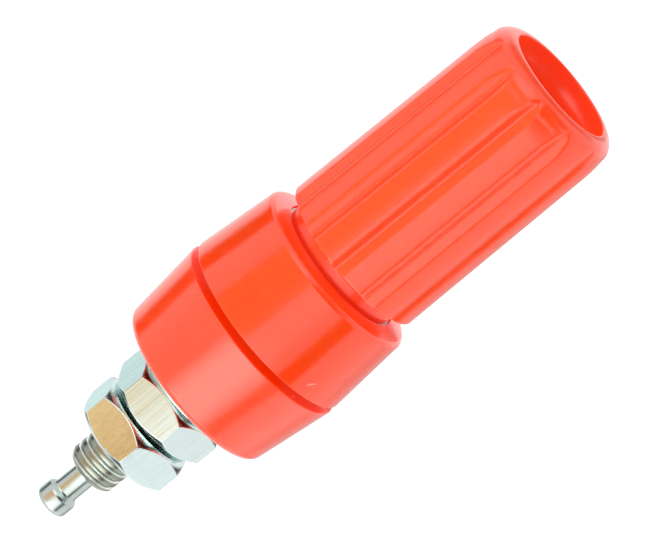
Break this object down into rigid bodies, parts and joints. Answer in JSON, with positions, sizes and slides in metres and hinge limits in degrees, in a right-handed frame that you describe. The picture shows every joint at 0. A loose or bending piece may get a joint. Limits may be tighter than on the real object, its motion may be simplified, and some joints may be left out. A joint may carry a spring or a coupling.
{
  "type": "binding post with banana socket",
  "caption": "Red panel-mounting binding post: fluted screw knob over a 4 mm plug socket and wire hole, tapered insulating collars, nuts on a threaded stud and a solder tip.",
  "frame": {"origin": "on the axis, at the underside of the front collar, which is the panel's front face", "axes": "+Z along the axis, out of the panel towards the knob's mouth; the wire hole runs along Y"},
  "size_m": [0.015, 0.015, 0.0482],
  "materials": {
    "red_plastic": "glossy moulded",
    "nickel_plate": "bright nickel plate on brass",
    "brass": "turned"
  },
  "bodies": {
    "post": {"contact_stud": "nickel_plate", "front_collar": "red_plastic"},
    "bush": {"knob_bush": "brass"},
    "knob": {"knob": "red_plastic"},
    "rear_clamp": {"rear_collar": "red_plastic", "washer": "nickel_plate"},
    "panel_nut": {"panel_nut": "nickel_plate"},
    "terminal_nut": {"terminal_nut": "nickel_plate"}
  },
  "joints": [
    {"name": "knob_lift", "type": "slide", "parent": "post", "child": "bush", "axis": [0, 0, 1], "range_m": [0, 0.00575]},
    {"name": "knob_turn", "type": "hinge", "parent": "bush", "child": "knob", "pos_m": [0, 0, 0.007], "axis": [0, 0, 1], "range_deg": [0, 2071]},
    {"name": "clamp_slide", "type": "slide", "parent": "post", "child": "rear_clamp", "axis": [0, 0, -1], "range_m": [0, 0.0028]},
    {"name": "panel_nut_turn", "type": "hinge", "parent": "rear_clamp", "child": "panel_nut", "pos_m": [0, 0, -0.0095], "axis": [0, 0, -1], "range_deg": [0, 1441]},
    {"name": "terminal_nut_run", "type": "slide", "parent": "panel_nut", "child": "terminal_nut", "axis": [0, 0, -1], "range_m": [0, 0.003]}
  ],
  "couplings": [
    {"joint": "knob_turn", "follows": "knob_lift", "rad_per_m": 6283.2},
    {"joint": "panel_nut_turn", "follows": "clamp_slide", "rad_per_m": 8976}
  ]
}
